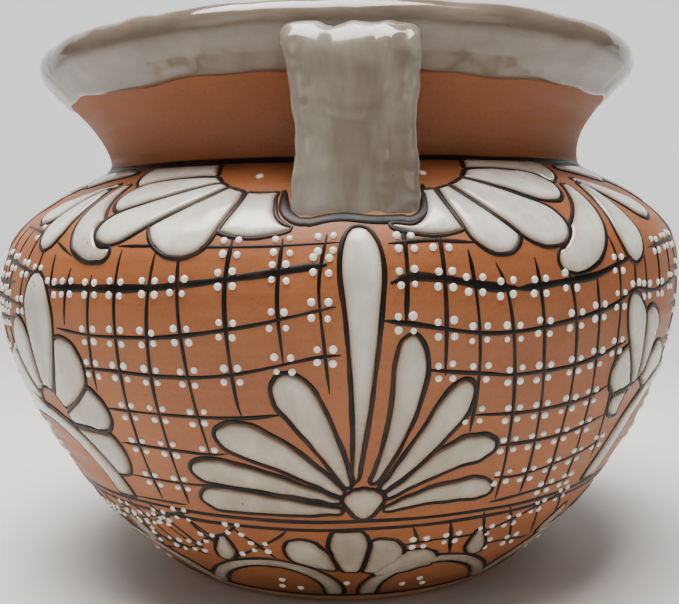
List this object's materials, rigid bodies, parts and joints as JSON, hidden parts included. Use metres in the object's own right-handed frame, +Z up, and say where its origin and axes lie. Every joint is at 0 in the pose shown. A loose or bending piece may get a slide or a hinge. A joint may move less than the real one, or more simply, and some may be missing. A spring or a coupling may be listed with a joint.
{
  "type": "pottery vase",
  "caption": "Round earthenware flower vase with a flared neck, two strap handles and raised white petals outlined in black, for standing plants or flowers.",
  "frame": {"origin": "centre of the foot, on the surface the vase stands on", "axes": "+Z up along the vase's axis, the front handle faces -Y and the back handle +Y, +X to the right"},
  "size_m": [0.3016, 0.3018, 0.2222],
  "materials": {
    "terracotta": "matte, smooth turned clay",
    "raw_foot": "matte, unglazed",
    "grey_white_glaze": "thick gloss with brown specks",
    "white_enamel": "satin gloss, raised",
    "black_slip": "satin painted line"
  },
  "bodies": {
    "root": {"back_daisy": "white_enamel", "back_handle": "grey_white_glaze", "back_handle_line": "black_slip", "back_left_arch_flower": "white_enamel", "back_left_leaf_spray": "white_enamel", "back_left_shell": "white_enamel", "back_right_arch_flower": "white_enamel", "back_right_leaf_spray": "white_enamel", "back_right_shell": "white_enamel", "base_disc": "raw_foot", "foot_flower_1": "white_enamel", "foot_flower_2": "white_enamel", "foot_flower_3": "white_enamel", "foot_flower_4": "white_enamel", "foot_flower_5": "white_enamel", "foot_line": "black_slip", "foot_ring": "raw_foot", "front_daisy": "white_enamel", "front_handle": "grey_white_glaze", "front_handle_line": "black_slip", "front_left_arch_flower": "white_enamel", "front_left_leaf_spray": "white_enamel", "front_left_shell": "white_enamel", "front_right_arch_flower": "white_enamel", "front_right_leaf_spray": "white_enamel", "front_right_shell": "white_enamel", "left_daisy": "white_enamel", "left_shell": "white_enamel", "lower_bowl": "terracotta", "neck_collar": "terracotta", "neck_line": "black_slip", "right_daisy": "white_enamel", "right_shell": "white_enamel", "rim_glaze": "grey_white_glaze", "rim_roll": "grey_white_glaze", "shoulder_shell": "terracotta", "waist_lower_line": "black_slip", "waist_upper_line": "black_slip"}
  },
  "joints": []
}
